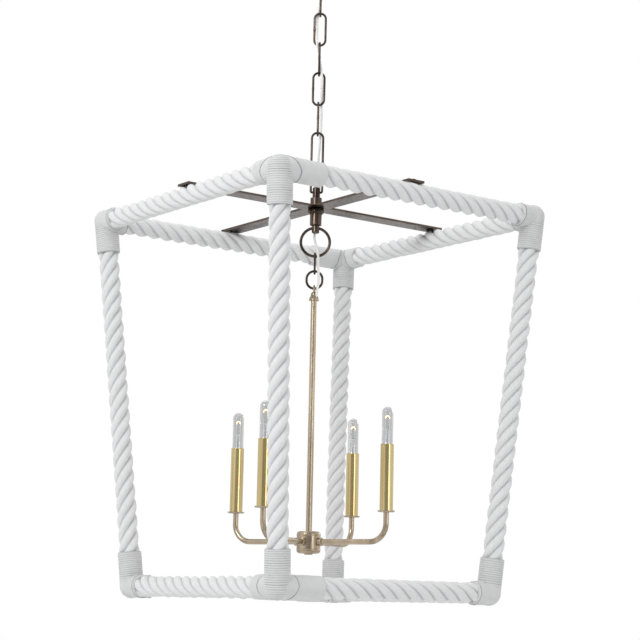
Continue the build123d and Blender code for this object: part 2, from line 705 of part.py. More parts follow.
# each point: along the chain's level direction, across it, and the height; the cord winds in and out of the links
grommet_z = bars_top_z
cord_upper_points = [
    turned_point(*cord_exit, loop_base_bottom + 6.5, chain_turn),
    turned_point(*cord_exit, loop_base_bottom - 12.0, chain_turn),
    turned_point(5.8, 5.7, loop_bottom_z - 4.0, chain_turn),
    turned_point(0.0, 5.3, link_middle_z[0], chain_turn),
    turned_point(-5.6, 5.6, (link_middle_z[0] + link_middle_z[1]) / 2, chain_turn),
    turned_point(-5.4, 0.0, link_middle_z[1], chain_turn),
    turned_point(-5.6, -5.6, (link_middle_z[1] + link_middle_z[2]) / 2, chain_turn),
    turned_point(0.0, -5.4, link_middle_z[2], chain_turn),
    turned_point(5.6, -5.6, (link_middle_z[2] + link_middle_z[3]) / 2, chain_turn),
    turned_point(5.4, 0.0, link_middle_z[3], chain_turn),
    turned_point(5.8, 5.8, (link_middle_z[3] + link_middle_z[4]) / 2, chain_turn),
    turned_point(6.4, 7.4, link_middle_z[4], chain_turn),
    turned_point(5.8, 8.2, (link_middle_z[4] + connector_top_z) / 2 - 12.0, chain_turn),
    turned_point(3.6, 9.4, connector_top_z - 30.0, chain_turn),
    turned_point(1.4, 12.4, connector_top_z - 62.0, chain_turn),
    turned_point(0.0, cord_behind_stem, stem_top_z - 6.0, chain_turn),
    turned_point(0.0, cord_behind_stem, grommet_z, chain_turn),
]
cord_lower_points = [
    turned_point(0.0, cord_behind_stem, grommet_z, chain_turn),
    turned_point(0.0, cord_behind_stem, bars_bottom_z - 22.0, chain_turn),
    turned_point(-1.6, 13.2, stem_bottom_z + 2.0, chain_turn),
    turned_point(-2.4, 3.0, ring_centre_z + 6.0, chain_turn),
    turned_point(3.2, -3.4, ring_centre_z - 11.0, chain_turn),
    turned_point(6.2, -7.2, small_link_middle_z + 13.0, chain_turn),
    turned_point(6.0, -6.6, small_link_middle_z - 8.0, chain_turn),
    turned_point(8.0, -6.4, small_ring_middle_z + 2.0, chain_turn),
    cord_above_entry,
    cord_end,
]
cord_tube(cord_upper_points, "cord_upper")
cord_tube(cord_lower_points, "cord_lower")
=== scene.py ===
"""Hanging lantern: a tapered square cage of thick white rope with a brass candle cluster inside it.

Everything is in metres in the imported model's own frame: +Z up, with the origin at the ceiling.
"""

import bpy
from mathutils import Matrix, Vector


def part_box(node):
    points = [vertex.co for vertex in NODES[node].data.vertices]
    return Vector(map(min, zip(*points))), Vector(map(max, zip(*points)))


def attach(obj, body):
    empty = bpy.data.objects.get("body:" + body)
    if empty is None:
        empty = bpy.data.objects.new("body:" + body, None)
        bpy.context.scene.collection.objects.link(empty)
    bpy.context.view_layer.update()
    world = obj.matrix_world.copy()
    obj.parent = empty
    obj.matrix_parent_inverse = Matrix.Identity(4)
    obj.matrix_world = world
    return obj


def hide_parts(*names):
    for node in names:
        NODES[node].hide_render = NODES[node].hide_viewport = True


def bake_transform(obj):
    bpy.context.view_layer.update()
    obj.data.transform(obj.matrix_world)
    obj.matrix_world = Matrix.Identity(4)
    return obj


bl_info = {
    "name": "Rope cage lantern",
    "version": (1, 0, 0),
    "blender": (4, 5, 0),
    "location": "View3D > Sidebar > Lantern",
    "description": "Builds the rope, whipping, metal, bulb and cord pieces of a hanging cage lantern",
    "category": "Add Mesh",
}

from math import cos, pi, radians, sin, sqrt

import bpy
from bpy.props import FloatProperty, FloatVectorProperty, IntProperty, PointerProperty
from mathutils import Matrix, Vector, noise

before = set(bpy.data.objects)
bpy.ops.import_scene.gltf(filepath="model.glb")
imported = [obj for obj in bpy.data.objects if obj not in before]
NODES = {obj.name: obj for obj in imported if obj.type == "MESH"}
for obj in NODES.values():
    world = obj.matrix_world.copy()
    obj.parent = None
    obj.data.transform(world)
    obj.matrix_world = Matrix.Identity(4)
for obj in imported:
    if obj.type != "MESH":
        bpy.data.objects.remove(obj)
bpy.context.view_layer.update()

# ---------------------------------------------------------------- places that come from the frame

CORNERS = ("front", "right", "back", "left")
CORNER_SIGNS = {"front": (-1, -1), "right": (1, -1), "back": (1, 1), "left": (-1, 1)}
CHAIN_TURN = radians(-36.5)
LEVEL = Vector((cos(CHAIN_TURN), sin(CHAIN_TURN), 0))
ACROSS = Vector((-sin(CHAIN_TURN), cos(CHAIN_TURN), 0))
UP = Vector((0, 0, 1))


def middle(node):
    """The middle of a CAD node's box."""
    low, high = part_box(node)
    return (low + high) / 2


def rail_frame(level):
    """The height of a level's four rails and half the distance between opposite ones."""
    height = middle(f"{level}_rope_front_right").z
    half = abs(middle(f"{level}_rope_front_right").y)
    return height, half


RAILS = {level: rail_frame(level) for level in ("top", "bottom")}


def corner(level, name):
    """The point where two rails and a leg meet."""
    height, half = RAILS[level]
    sx, sy = CORNER_SIGNS[name]
    return Vector((sx * half, sy * half, height))


# ---------------------------------------------------------------- properties


def colour(name, description, value):
    """A colour property with its default."""
    return FloatVectorProperty(name=name, description=description, subtype="COLOR", size=3, default=value)


def length(name, description, value):
    """A length property with its default, in metres."""
    return FloatProperty(name=name, description=description, unit="LENGTH", default=value, precision=5)


class LanternRopeProperties(bpy.types.PropertyGroup):
    """Sizes and colours of the laid rope."""

    strands: IntProperty(name="Strands", description="Strands laid together", default=4)
    lay: length("Lay", "Length of one full turn of a strand", 0.110)
    radius: length("Radius", "Rope radius over its strands", 0.0185)
    ring_step: length("Ring step", "Distance between mesh rings along the rope", 0.003)
    cotton: colour("Cotton", "Colour of the strands' crests", (0.70, 0.703, 0.708))
    # painted shade: the grey that stands for the shade deep between the strands
    painted_groove_shade: colour("Groove", "Colour deep between the strands", (0.38, 0.38, 0.395))


class LanternWrapProperties(bpy.types.PropertyGroup):
    """Sizes and colours of the wound twine and the smooth tape at the corners."""

    leg_radius: length("Leg wrap radius", "Radius over the wound twine on a leg", 0.0215)
    rail_radius: length("Rail wrap radius", "Radius over the tape on a rail", 0.0205)
    leg_reach: length("Leg wrap reach", "Reach of the twine from the rail's centre", 0.060)
    twine: length("Twine", "Distance between turns of the twine", 0.0038)
    relief: length("Relief", "Depth between turns of the twine", 0.0011)
    cloth: colour("Cloth", "Colour of the tape and twine", (0.66, 0.662, 0.667))
    # painted shade: the near-black of the lines along the creases and of the gaps between the twine's turns
    seam: colour("Seam", "Colour of the seams' shadowed thread", (0.10, 0.10, 0.11))


class LanternMetalProperties(bpy.types.PropertyGroup):
    """Colours and roughness of the metals."""

    bronze: colour("Bronze", "Worn highlights of the antique bronze", (0.13, 0.098, 0.078))
    bronze_dark: colour("Dark bronze", "Darkest tone of the antique bronze", (0.034, 0.026, 0.022))
    champagne: colour("Champagne", "Light tone of the cluster's brass", (0.50, 0.415, 0.31))
    champagne_dark: colour("Dark champagne", "Dark tone of the cluster's brass", (0.27, 0.215, 0.15))
    brass: colour("Brass", "Light tone of the candle sleeves", (0.66, 0.53, 0.27))
    brass_dark: colour("Dark brass", "Dark tone of the candle sleeves", (0.33, 0.24, 0.10))
    zinc: colour("Zinc", "Plated steel inside the canopy and the ropes", (0.58, 0.58, 0.56))


class LanternBulbProperties(bpy.types.PropertyGroup):
    """Sizes and colours of the bulbs' insides."""

    stem_radius: length("Stem radius", "Radius of the glass stem at its foot", 0.0036)
    wire_radius: length("Wire radius", "Radius of the support wires", 0.0003)
    filament_radius: length("Filament radius", "Radius of the filament", 0.0004)
    glow: colour("Glow", "Colour of the lit filament", (1.0, 0.56, 0.22))
    glow_strength: FloatProperty(name="Glow strength", description="Brightness of the filament", default=6.0)


class LanternStageProperties(bpy.types.PropertyGroup):
    """The camera and the floor."""

    lens: FloatProperty(name="Lens", description="Focal length", unit="CAMERA", default=101.1)
    distance: length("Distance", "Level distance from the lantern's axis to the camera", 3.221)
    sideways: length("Sideways", "Shift of the camera to its right", 0.0117)
    below_rail: length("Below rail", "Height of the top rails over the camera", 0.7013)
    pitch: FloatProperty(name="Pitch", description="Upward tilt", subtype="ANGLE", default=radians(9.08))
    roll: FloatProperty(name="Roll", description="Turn about the view", subtype="ANGLE", default=radians(1.25))
    floor_drop: length("Floor drop", "Floor below the cage", 0.75)
    floor: colour("Floor", "Colour of the floor", (0.86, 0.86, 0.86))


# ---------------------------------------------------------------- mesh helpers


def add_mesh(name, points, faces, material, uvs=None, shade=None):
    """A smooth mesh object in the scene. uvs has one pair per face corner, shade one value per point."""
    mesh = bpy.data.meshes.new(name)
    mesh.from_pydata(points, [], faces)
    if uvs:
        layer = mesh.uv_layers.new(name="UVMap")
        layer.data.foreach_set("uv", [value for pair in uvs for value in pair])
    if shade:
        # this point attribute carries painted shade, from 0 to 1, which the materials mix towards their shade
        # colours
        mesh.attributes.new("painted_groove_shade", "FLOAT", "POINT").data.foreach_set("value", shade)
    mesh.polygons.foreach_set("use_smooth", [len(face) == 4 for face in faces])
    mesh.materials.append(material)
    piece = bpy.data.objects.new(name, mesh)
    bpy.context.scene.collection.objects.link(piece)
    return piece


def square_to(axis):
    """Two unit vectors square to an axis and to each other."""
    axis = Vector(axis).normalized()
    helper = Vector((0, 0, 1)) if abs(axis.z) < 0.9 else Vector((1, 0, 0))
    first = axis.cross(helper).normalized()
    return first, axis.cross(first)


def lathe(name, origin, axis, profile, material, sides=48, unevenness=0.0, shades=None):
    """Turns a profile of (distance along the axis, radius) and closes both ends.

    Its UV map runs along the axis and round it, in metres."""
    axis = Vector(axis).normalized()
    first, second = square_to(axis)
    points, faces, uvs = [], [], []
    run, runs = 0.0, []
    for n, (along, radius) in enumerate(profile):
        if n:
            run += sqrt((along - profile[n - 1][0]) ** 2 + (radius - profile[n - 1][1]) ** 2)
        runs.append(run)
        for side in range(sides):
            angle = 2 * pi * side / sides
            out = first * cos(angle) + second * sin(angle)
            place = origin + axis * along + out * radius
            if unevenness:
                place += out * unevenness * noise.noise(place * 45)
            points.append(place)
    widest = max(radius for along, radius in profile)
    for n in range(len(profile) - 1):
        for side in range(sides):
            after = (side + 1) % sides
            here, there = n * sides, (n + 1) * sides
            faces.append((here + side, here + after, there + after, there + side))
            near, far = 2 * pi * widest * side / sides, 2 * pi * widest * (side + 1) / sides
            uvs += [(runs[n], near), (runs[n], far), (runs[n + 1], far), (runs[n + 1], near)]
    last = (len(profile) - 1) * sides
    faces.append(tuple(reversed(range(sides))))
    faces.append(tuple(range(last, last + sides)))
    uvs += [(0, 0)] * (2 * sides)
    # shades: painted shade for each profile ring, given to every point of that ring
    shade = [value for value in shades for side in range(sides)] if shades else None
    return add_mesh(name, points, faces, material, uvs, shade)


def tube(name, path, radius, material, sides=12, closed=False):
    """A round tube along a path, with closed ends unless the path is a loop."""
    path = [Vector(point) for point in path]
    count = len(path)
    steps = []
    for n in range(count):
        before = path[n - 1] if closed or n else path[0]
        after = path[(n + 1) % count] if closed or n < count - 1 else path[-1]
        steps.append((after - before).normalized())
    first = square_to(steps[0])[0]
    points, faces = [], []
    for place, step in zip(path, steps):
        first = (first - step * first.dot(step)).normalized()
        second = step.cross(first)
        for side in range(sides):
            angle = 2 * pi * side / sides
            points.append(place + (first * cos(angle) + second * sin(angle)) * radius)
    for n in range(count if closed else count - 1):
        here, there = n * sides, (n + 1) % count * sides
        for side in range(sides):
            after = (side + 1) % sides
            faces.append((here + side, here + after, there + after, there + side))
    if not closed:
        faces.append(tuple(reversed(range(sides))))
        faces.append(tuple(range((count - 1) * sides, count * sides)))
    return add_mesh(name, points, faces, material)


def ring_path(centre, across, up, radius, steps=48):
    """Points round a circle in the plane of two unit vectors."""
    angles = [2 * pi * n / steps for n in range(steps)]
    return [centre + (across * cos(angle) + up * sin(angle)) * radius for angle in angles]


def set_piece(piece, body, slot, *replaced):
    """Rides a finished piece on its body and hides the CAD nodes it stands for; slot is not used."""
    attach(piece, body)
    if replaced:
        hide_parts(*replaced)
    return piece


def finish_nodes(material, *names):
    """Gives CAD nodes their material."""
    for name in names:
        mesh = NODES[name].data
        mesh.materials.clear()
        mesh.materials.append(material)


# ---------------------------------------------------------------- material helpers


def blank_material(name):
    """A new node material with its shader."""
    name = f"lantern_{name}"
    material = bpy.data.materials.get(name)
    if material:
        return material, None
    material = bpy.data.materials.new(name)
    material.use_nodes = True
    return material, material.node_tree.nodes["Principled BSDF"]


def add_node(tree, kind, **values):
    """A node with its input values set by name."""
    node = tree.nodes.new(kind)
    for key, value in values.items():
        node.inputs[key.replace("_", " ")].default_value = value
    return node


def noise_node(tree, stretch, scale, detail=4.0, coordinate="Object"):
    """Noise over stretched coordinates."""
    place = tree.nodes.new("ShaderNodeTexCoord")
    mapping = add_node(tree, "ShaderNodeMapping", Scale=stretch)
    texture = add_node(tree, "ShaderNodeTexNoise", Scale=scale, Detail=detail)
    tree.links.new(place.outputs[coordinate], mapping.inputs["Vector"])
    tree.links.new(mapping.outputs["Vector"], texture.inputs["Vector"])
    return texture


def mix_colours(tree, factor, dark, light):
    """Mixes two colours, or two colour outputs, by a factor output."""
    node = tree.nodes.new("ShaderNodeMix")
    node.data_type = "RGBA"
    tree.links.new(factor, node.inputs["Factor"])
    for socket, value in ((node.inputs[6], dark), (node.inputs[7], light)):
        if isinstance(value, bpy.types.NodeSocket):
            tree.links.new(value, socket)
        else:
            socket.default_value = (*value, 1)
    return node.outputs[2]


def spread(tree, value, low, high, out_low=0.0, out_high=1.0):
    """Maps one range of values to another."""
    node = add_node(tree, "ShaderNodeMapRange", From_Min=low, From_Max=high, To_Min=out_low, To_Max=out_high)
    tree.links.new(value, node.inputs["Value"])
    return node.outputs["Result"]


def bump(tree, height, strength, distance, under=None):
    """A bump node, on top of another one's normal."""
    node = add_node(tree, "ShaderNodeBump", Strength=strength, Distance=distance)
    tree.links.new(height, node.inputs["Height"])
    if under:
        tree.links.new(under, node.inputs["Normal"])
    return node.outputs["Normal"]


def metal(name, dark, light, rough, scale=40.0, stretch=(1, 1, 0.25), edge_wear=0.5):
    """A metal with cloudy tone, fine scratches, uneven polish and brighter worn edges."""
    material, shader = blank_material(name)
    if shader is None:
        return material
    tree = material.node_tree
    cloud = noise_node(tree, stretch, scale)
    geometry = tree.nodes.new("ShaderNodeNewGeometry")
    worn = spread(tree, geometry.outputs["Pointiness"], 0.5, 0.56, 0.0, edge_wear)
    tone = mix_colours(tree, spread(tree, cloud.outputs["Fac"], 0.35, 0.7), dark, light)
    tree.links.new(mix_colours(tree, worn, tone, light), shader.inputs["Base Color"])
    smudge = noise_node(tree, (1, 1, 1), scale * 2.5)
    roughness = spread(tree, smudge.outputs["Fac"], 0.3, 0.7, rough[0], rough[1])
    tree.links.new(roughness, shader.inputs["Roughness"])
    grain = noise_node(tree, (1, 1, 0.04), 1800.0, detail=2.0)
    tree.links.new(bump(tree, grain.outputs["Fac"], 0.12, 0.0001), shader.inputs["Normal"])
    shader.inputs["Metallic"].default_value = 1.0
    return material


def antique_bronze(metals):
    """Dark bronze with warm worn highlights."""
    return metal("antique_bronze", metals.bronze_dark, metals.bronze, (0.16, 0.30))


def champagne_brass(metals):
    """Satin brass of the rod, hub and arms."""
    return metal("champagne_brass", metals.champagne_dark, metals.champagne, (0.18, 0.30))


def polished_brass(metals):
    """Bright brass of the candle sleeves."""
    return metal("polished_brass", metals.brass_dark, metals.brass, (0.08, 0.16), stretch=(1, 1, 0.06))


def zinc_plate(metals):
    """Plated steel, out of sight."""
    return metal("zinc_plate", tuple(c * 0.6 for c in metals.zinc), metals.zinc, (0.30, 0.5))


def laid_cotton(rope):
    """Soft painted cotton: streaky fibres along the rope, painted shade deep in the grooves between the
    strands, and a faint sheen.
    """
    material, shader = blank_material("laid_cotton")
    if shader is None:
        return material
    tree = material.node_tree
    depth = tree.nodes.new("ShaderNodeAttribute")
    depth.attribute_name = "painted_groove_shade"
    fibres = noise_node(tree, (70, 900, 1), 1.0, detail=6.0, coordinate="UV")
    patches = noise_node(tree, (1, 1, 1), 28.0)
    crest = tuple(c * 0.93 for c in rope.cotton)
    streaks = mix_colours(tree, spread(tree, fibres.outputs["Fac"], 0.35, 0.6), crest, rope.cotton)
    stained = mix_colours(tree, spread(tree, patches.outputs["Fac"], 0.6, 0.9, 0.0, 0.35), streaks, crest)
    # painted shade: darker towards the shade colour deep in the grooves between the strands
    tree.links.new(mix_colours(tree, depth.outputs["Fac"], stained, rope.painted_groove_shade), shader.inputs["Base Color"])
    yarns = bump(tree, fibres.outputs["Fac"], 0.55, 0.0012)
    tree.links.new(bump(tree, patches.outputs["Fac"], 0.3, 0.002, yarns), shader.inputs["Normal"])
    tree.links.new(spread(tree, fibres.outputs["Fac"], 0.3, 0.7, 0.78, 0.95), shader.inputs["Roughness"])
    shader.inputs["Sheen Weight"].default_value = 0.25
    shader.inputs["Specular IOR Level"].default_value = 0.25
    return material


def wound_cloth(name, wraps, weave):
    """Tape or twine: a fine weave over the winding with painted shade in the gaps between its threads,
    slightly soiled patches, and painted shade between the twine's turns.
    """
    material, shader = blank_material(name)
    if shader is None:
        return material
    tree = material.node_tree
    place = tree.nodes.new("ShaderNodeTexCoord")
    mapping = add_node(tree, "ShaderNodeMapping", Scale=(weave, weave, 1))
    tree.links.new(place.outputs["UV"], mapping.inputs["Vector"])
    threads = tree.nodes.new("ShaderNodeTexBrick")
    for key, value in (("Scale", 1.0), ("Mortar Size", 0.12), ("Brick Width", 1.0), ("Row Height", 1.0)):
        threads.inputs[key].default_value = value
    tree.links.new(mapping.outputs["Vector"], threads.inputs["Vector"])
    patches = noise_node(tree, (1, 1, 1), 45.0)
    soiled = tuple(c * 0.86 for c in wraps.cloth)
    cloth = mix_colours(tree, spread(tree, patches.outputs["Fac"], 0.45, 0.8), wraps.cloth, soiled)
    # painted shade: the gaps between the weave's threads, a fifth darker
    thread_gap_shade = tuple(c * 0.8 for c in wraps.cloth)
    woven_tone = mix_colours(tree, threads.outputs["Fac"], cloth, thread_gap_shade)
    # painted shade between the twine's turns: darker towards the near-black crease colour by the mesh's shade
    # attribute
    depth = tree.nodes.new("ShaderNodeAttribute")
    depth.attribute_name = "painted_groove_shade"
    tone = mix_colours(tree, depth.outputs["Fac"], woven_tone, wraps.seam)
    tree.links.new(tone, shader.inputs["Base Color"])
    inset = spread(tree, threads.outputs["Fac"], 0.0, 1.0, 1.0, 0.0)
    woven = bump(tree, inset, 0.35, 0.0004)
    tree.links.new(bump(tree, patches.outputs["Fac"], 0.25, 0.0015, woven), shader.inputs["Normal"])
    tree.links.new(spread(tree, patches.outputs["Fac"], 0.3, 0.7, 0.75, 0.92), shader.inputs["Roughness"])
    shader.inputs["Sheen Weight"].default_value = 0.2
    shader.inputs["Specular IOR Level"].default_value = 0.25
    return material


def plain_finish(name, dark, light, rough, scale):
    """A non-metal with mottled tone and a fine surface."""
    material, shader = blank_material(name)
    if shader is None:
        return material
    tree = material.node_tree
    mottle = noise_node(tree, (1, 1, 1), scale)
    tree.links.new(mix_colours(tree, mottle.outputs["Fac"], dark, light), shader.inputs["Base Color"])
    unevenness = 0.08
    roughness = spread(tree, mottle.outputs["Fac"], 0.3, 0.7, rough - unevenness, rough + unevenness)
    tree.links.new(roughness, shader.inputs["Roughness"])
    tree.links.new(bump(tree, mottle.outputs["Fac"], 0.1, 0.0003), shader.inputs["Normal"])
    return material


def clear_glass(name, tint, roughness):
    """Thin clear glass with faint dust."""
    material, shader = blank_material(name)
    if shader is None:
        return material
    tree = material.node_tree
    dust = noise_node(tree, (1, 1, 1), 220.0)
    tree.links.new(spread(tree, dust.outputs["Fac"], 0.4, 0.8, 0.0, roughness), shader.inputs["Roughness"])
    shader.inputs["Base Color"].default_value = (*tint, 1)
    shader.inputs["Transmission Weight"].default_value = 1.0
    shader.inputs["IOR"].default_value = 1.47
    return material


def filament_glow(bulbs):
    """The lit filament."""
    material, shader = blank_material("filament_glow")
    if shader is None:
        return material
    shader.inputs["Base Color"].default_value = (*bulbs.glow, 1)
    shader.inputs["Emission Color"].default_value = (*bulbs.glow, 1)
    shader.inputs["Emission Strength"].default_value = bulbs.glow_strength
    return material


# ---------------------------------------------------------------- ropes and wraps


def laid_rope(name, start, end, material, rope):
    """A laid rope whose mesh follows its strands, so that its grooves stay crisp."""
    run = end - start
    axis = run.normalized()
    first, second = square_to(axis)
    rings = max(2, round(run.length / rope.ring_step)) + 1
    columns_each = 14
    columns = rope.strands * columns_each
    strand_radius = rope.radius / 2
    swell_height, swell_scale, sink = 0.0007, 38, 0.0003
    groove_start, groove_shade = 0.7, 0.6
    points, shade, faces, uvs = [], [], [], []
    for ring in range(rings):
        along = run.length * ring / (rings - 1)
        twist = 2 * pi * along / rope.lay
        for column in range(columns):
            within = (column % columns_each / columns_each - 0.5) * 2 * pi / rope.strands
            angle = 2 * pi * column / columns + twist
            reach = strand_radius * cos(within) + strand_radius * sqrt(1 - sin(within) ** 2)
            out = first * cos(angle) + second * sin(angle)
            place = start + axis * along + out * reach
            swell = noise.noise(place * swell_scale + Vector((name.count("_"), 0, 0))) * swell_height
            points.append(place + out * (swell - sink))
            # painted shade: the edges of each strand, deep in the grooves, get a darkening value
            beyond = abs(within) / (pi / rope.strands) - groove_start
            shade.append(max(0.0, beyond) / (1 - groove_start) * groove_shade)
    for ring in range(rings - 1):
        for column in range(columns):
            after = (column + 1) % columns
            here, there = ring * columns, (ring + 1) * columns
            faces.append((here + column, there + column, there + after, here + after))
            for row, side in ((0, 0), (1, 0), (1, 1), (0, 1)):
                along = run.length * (ring + row) / (rings - 1)
                turn = 2 * pi * (column + side) / columns + 2 * pi * along / rope.lay
                uvs.append((along, turn * rope.radius))
    faces.append(tuple(range(columns)))
    faces.append(tuple(reversed(range((rings - 1) * columns, rings * columns))))
    uvs += [(0, 0)] * (2 * columns)
    return add_mesh(name, points, faces, material, uvs, shade)


def whipping_profile(start, end, radius, wraps, rounded):
    """The outline of wound twine and the painted shade between its turns. If rounded, it starts with a round
    end round the corner.
    """
    profile, shades = [], []
    steps_each = 6
    thinnest, slit_reach, gap_shade = 0.0006, 0.010, 0.6
    low = -radius if rounded else start
    count = max(2, round((end - low) / wraps.twine) * steps_each)
    for n in range(count + 1):
        along = low + (end - low) * n / count
        outline = radius
        if along < 0:
            outline = sqrt(max(0.0, radius**2 - along**2))
        phase = (along - low) / wraps.twine
        ridge = abs(sin(pi * phase))
        profile.append((along, max(thinnest, outline - wraps.relief * (1 - ridge) ** 2)))
        # painted shade between the turns, darkest in every other gap near a rounded corner's middle
        gap = 1.0 if rounded and abs(along) < slit_reach and round(phase) % 2 else gap_shade
        shades.append(gap * (1 - ridge) ** 3)
    profile += [(end + 0.0012, radius - 0.0012), (end + 0.0015, radius - 0.0045)]
    # the last two rings get painted shade where the twine tucks in
    return profile, shades + [0.3, 0.6]


def tape_profile(end, radius):
    """The outline of smooth tape from a corner's centre along a rail, with a soft turned-in edge."""
    count = max(4, round(end / 0.003))
    profile = [(end * n / count, radius) for n in range(count + 1)]
    profile.append((end + 0.0014, radius - 0.0010))
    profile.append((end + 0.0020, radius - 0.0028))
    profile.append((end + 0.0016, radius - 0.0050))
    return profile


def seam_loop(centre, towards, up, rail_radius, near, far):
    """Points round a rail's tape for a line of painted shade: far out on the leg's side, and near the corner
    on the other.
    """
    side = towards.cross(up).normalized()
    points = []
    steps = 64
    for n in range(steps):
        angle = 2 * pi * n / steps
        out = near + (far - near) * sqrt(min(1.0, (1 + sin(angle)) / 1.2))
        round_rail = side * cos(angle) + up * sin(angle)
        points.append(centre + towards * out + round_rail * rail_radius)
    return points


# ---------------------------------------------------------------- cord

# the route of the solids' cord: along the chain's level direction, across it, and the height, in millimetres
CORD_UPPER = [
    (5.0, 5.4, -44.5),
    (5.0, 5.4, -63.0),
    (5.8, 5.7, -81.0),
    (0.0, 5.3, -103.0),
    (-5.6, 5.6, -131.65),
    (-5.4, 0.0, -160.3),
    (-5.6, -5.6, -188.95),
    (0.0, -5.4, -217.6),
    (5.6, -5.6, -246.25),
    (5.4, 0.0, -274.9),
    (5.8, 5.8, -303.55),
    (6.4, 7.4, -332.2),
    (5.8, 8.2, -357.4),
    (3.6, 9.4, -388.6),
    (1.4, 12.4, -420.6),
    (0.0, 17.3, -467.9),
    (0.0, 17.3, -498.9),
]
CORD_LOWER = [
    (0.0, 17.3, -498.9),
    (0.0, 17.3, -524.9),
    (-1.6, 13.2, -545.9),
    (-2.4, 3.0, -558.33),
    (3.2, -3.4, -575.33),
    (6.2, -7.2, -591.33),
    (6.0, -6.6, -612.33),
    (8.0, -6.4, -632.38),
    (6.2, -6.2, -650.33),
    (2.53, -2.75, -671.33),
]
CORD_DIAMETER = 0.0046


def cord_line(name, route):
    """A smooth line through space from a route: points read off its NURBS spline."""
    curve = bpy.data.curves.new(name, "CURVE")
    curve.dimensions = "3D"
    curve.resolution_u = 8
    spline = curve.splines.new("NURBS")
    spline.points.add(len(route) - 1)
    for point, (along, across, height) in zip(spline.points, route):
        place = LEVEL * along / 1000 + ACROSS * across / 1000
        point.co = (place.x, place.y, height / 1000, 1)
    spline.order_u = 3
    spline.use_endpoint_u = True
    holder = bpy.data.objects.new(name, curve)
    bpy.context.scene.collection.objects.link(holder)
    bpy.context.view_layer.update()
    mesh = bpy.data.meshes.new_from_object(holder)
    line = [vertex.co.copy() for vertex in mesh.vertices]
    bpy.data.objects.remove(holder)
    bpy.data.meshes.remove(mesh)
    return line


def cut_line(line, high, low):
    """The stretch of a falling line between two heights, with its ends exactly on them."""
    stretch = []
    for here, there in zip(line, line[1:]):
        for level in (high, low):
            if here.z > level > there.z:
                stretch.append(here.lerp(there, (here.z - level) / (here.z - there.z)))
        if low < there.z < high:
            stretch.append(there.copy())
    if low < line[0].z <= high:
        stretch.insert(0, line[0].copy())
    return sorted(stretch, key=lambda place: -place.z)


# ---------------------------------------------------------------- operators


class LanternOperator:
    """What the lantern's operators share."""

    bl_options = {"REGISTER", "UNDO"}


